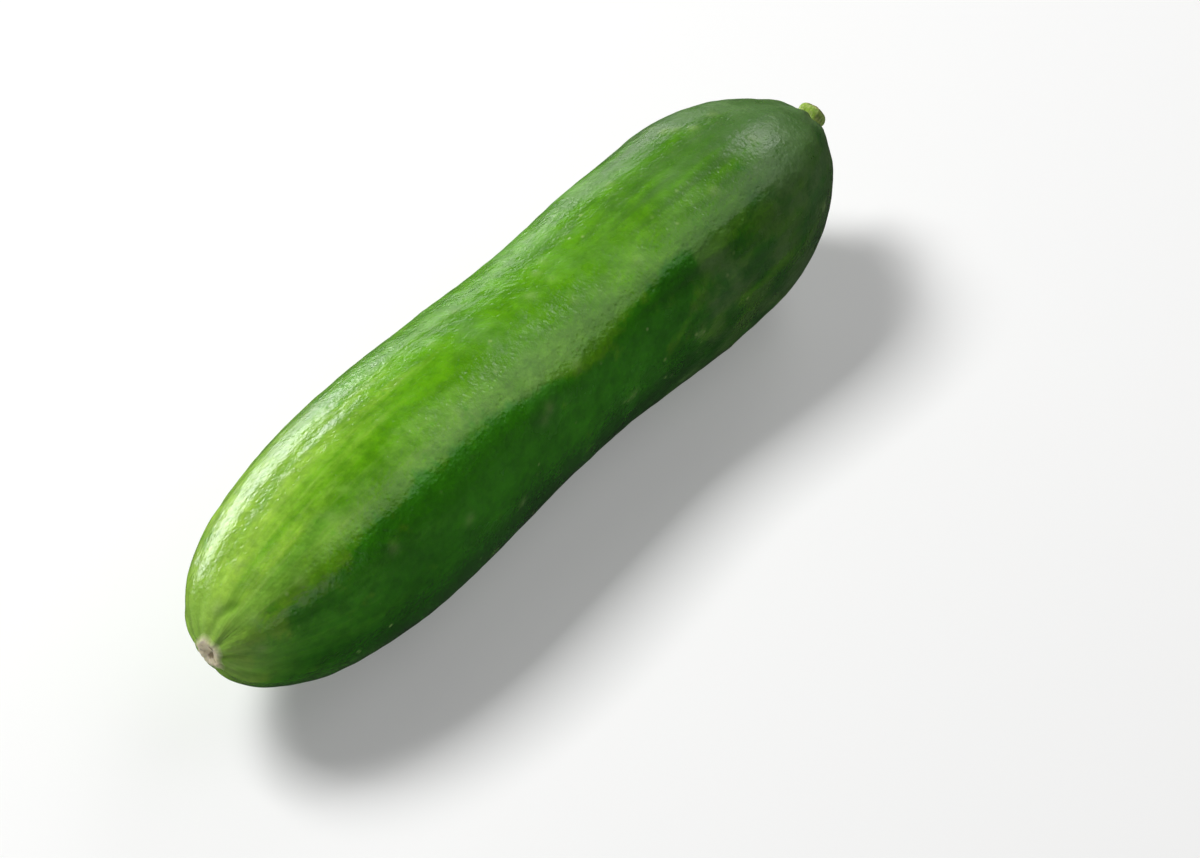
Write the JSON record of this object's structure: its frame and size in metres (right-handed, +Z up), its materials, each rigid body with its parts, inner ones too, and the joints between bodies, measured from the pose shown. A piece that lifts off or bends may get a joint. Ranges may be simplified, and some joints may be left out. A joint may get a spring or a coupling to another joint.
{
  "type": "cucumber",
  "caption": "Smooth-skinned mini cucumber lying on its side, gently bowed with a slight waist, a puckered blossom scar at one tip and a short cut stem stub at the other.",
  "frame": {"origin": "bottom centre of the part's box, on the surface that the fruit lies on", "axes": "+X along the fruit, from its blossom scar to its stem; +Z up; the fruit's middle bows towards +Y"},
  "size_m": [0.1542, 0.038, 0.0376],
  "materials": {
    "skin": "satin",
    "stem": "matte"
  },
  "bodies": {
    "root": {"fruit": "skin", "stem_stub": "stem"}
  },
  "joints": []
}
